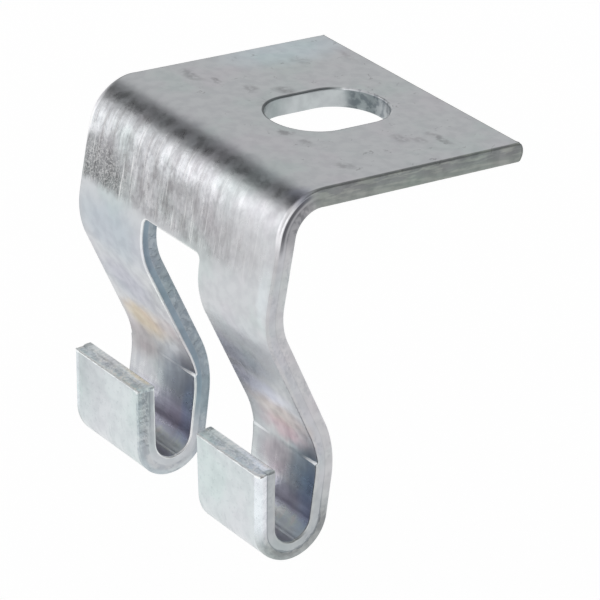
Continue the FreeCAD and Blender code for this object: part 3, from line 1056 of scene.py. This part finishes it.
class Steel:
    """The strip's finish: values by name, and the colour, roughness and relief from them."""

    def __init__(self, graph):
        self.graph = graph
        self.place = graph.attribute("place")
        self.wandered = graph.wander(self.place)
        cuts = graph.split(graph.attribute("cut"))
        self.values = dict(zip(("travel", "across", "depth"), graph.split(self.place)))
        self.values.update(zip(("torn_cut", "drawn_cut", "dull_cut"), cuts))
        self.add_values()
        self.add_colours()
        self.colour = ZINC

    def value(self, part):
        """What one part of a mask stands for, made once for each name."""
        if isinstance(part, float):
            return part
        if isinstance(part, tuple):
            return self.graph.ramp(self.value(part[0]), *part[1:])
        if part not in self.values:
            if part in NOISES:
                self.values[part] = self.graph.noise(self.place, *NOISES[part])
            else:
                self.values[part] = self.product(MASKS[part])
        return self.values[part]

    def product(self, parts):
        result = self.value(parts[0])
        for part in parts[1:]:
            result = self.graph.math("MULTIPLY", result, self.value(part))
        return result

    def total(self, products):
        result = self.product(products[0])
        for parts in products[1:]:
            result = self.graph.math("ADD", result, self.product(parts))
        return result

    def add_values(self):
        """The values that aren't products of others."""
        graph, value, values = self.graph, self.value, self.values
        cut = graph.math("MAXIMUM", values["torn_cut"], values["drawn_cut"])
        cut = graph.math("MAXIMUM", cut, values["dull_cut"])
        values["skin"] = graph.math("SUBTRACT", 1.0, cut)
        values["off_cuts"] = graph.math("MAXIMUM", values["skin"], value(OFF_CUTS))
        ragged = graph.math("MULTIPLY", value("ragged"), RAGGED)
        values["ragged_travel"] = graph.math("ADD", values["travel"], ragged)
        values["drying_line"] = graph.distance(value("drying"), NOISE_MIDDLE)
        values["curl_line"] = graph.distance(value("curls"), NOISE_MIDDLE)
        seam = graph.distance(values["depth"], SEAM_DEPTH)
        values["seam_distance"] = graph.math("SUBTRACT", seam, value("ragged_seam"))
        values["slot_ends"] = graph.math("MAXIMUM", *[value(part) for part in SLOT_ENDS])
        values["window_cut"] = graph.math("SUBTRACT", values["torn_cut"], value("lip_end"))
        rubbed = graph.spot(self.wandered, *RUBBED_PATCH)
        values["rubbed"] = graph.math("MULTIPLY", rubbed, value("drawn"))

    def add_colours(self):
        """The colours that vary over the strip."""
        mix, value = self.graph.mix, self.value
        olive = mix(value(OLIVE_DEPTHS), OLIVE_FACE, OLIVE_BACK)
        self.values["olive"] = mix(value(OLIVE_LAYERS), olive, OLIVE_PALE)
        self.values["band_shade"] = mix(value("at_bend"), BAND_SHADE, BEND_SHADE)

    def lay(self, layers):
        for blend_type, colour, *parts in layers:
            if isinstance(colour, str):
                colour = self.values[colour]
            self.colour = self.graph.mix(self.product(parts), self.colour, colour, blend_type)

    def mark(self, middle, reach, strength):
        return self.graph.math("MULTIPLY", self.graph.spot(self.wandered, middle, reach), strength)

    # Lays the painted highlights, painted shade and painted reflections.
    def lay_painted_light(self):
        for middle, reach, tint, strength in PAINTED_LIGHT_SPOTS:
            factor = self.mark(middle, reach, strength)
            factor = self.graph.math("MULTIPLY", factor, self.value("tinted"))
            self.colour = self.graph.mix(factor, self.colour, tint, TINT)

    def lay_stains(self):
        """Stains on the flange, and the outlines that drops left where they dried."""
        graph = self.graph
        stain = self.mark(*STAINS[0])
        for middle, reach, strength in STAINS[1:]:
            stain = graph.math("MAXIMUM", stain, self.mark(middle, reach, strength))
        stain = graph.math("MULTIPLY", stain, self.value(STAIN_BREAKS))
        stain = graph.math("MAXIMUM", stain, self.value("outlines"))
        stain = graph.math("MULTIPLY", stain, self.product(STAIN_PARTS))
        self.colour = graph.mix(stain, self.colour, STAIN_TINT, TINT)

    def lay_ledge_highlights(self):
        """A painted highlight along the ledge's edge, at the two sides of each leg."""
        graph = self.graph
        for ledge, middle, reach, strength in LEDGE_HIGHLIGHT_SPOTS:
            away = graph.distance(self.values["travel"], ledge)
            line = graph.ramp(away, LEDGE_LINE_EDGE, LEDGE_LINE_CORE)
            line = graph.math("MULTIPLY", line, self.product(("face", "skin")))
            part = graph.spot(self.place, (ledge, middle), (LEDGE_HIGHLIGHT_REACH, reach))
            part = graph.math("MULTIPLY", part, strength)
            self.colour = graph.mix(graph.math("MULTIPLY", part, line), self.colour, LEDGE_HIGHLIGHT_COLOUR)

    def lay_all(self):
        self.lay(CLOUD_LAYERS)
        self.lay_painted_light()
        self.lay_stains()
        self.lay(DRAWN_LAYERS + LEG_LAYERS)
        self.lay_ledge_highlights()
        self.lay(LIP_LAYERS + EDGE_LAYERS + SLOT_LAYERS + TORN_LAYERS)


def make_steel():
    material = bpy.data.materials.new("zinc_steel")
    material.use_nodes = True
    graph = Graph(material.node_tree)
    steel = Steel(graph)
    steel.lay_all()
    roughness = graph.math("MINIMUM", steel.total(ROUGHNESS_PARTS), ROUGHNESS_LIMIT)
    bump = graph.nodes.new("ShaderNodeBump")
    bump.inputs["Strength"].default_value = 1.0
    bump.inputs["Distance"].default_value = MM
    graph.feed(bump.inputs["Height"], steel.total(RELIEF_PARTS))
    shader = graph.nodes["Principled BSDF"]
    graph.feed(shader.inputs["Base Color"], steel.colour)
    graph.feed(shader.inputs["Roughness"], roughness)
    graph.feed(shader.inputs["Normal"], bump.outputs["Normal"])
    shader.inputs["Metallic"].default_value = 1.0
    return material


strip.data.materials.append(make_steel())
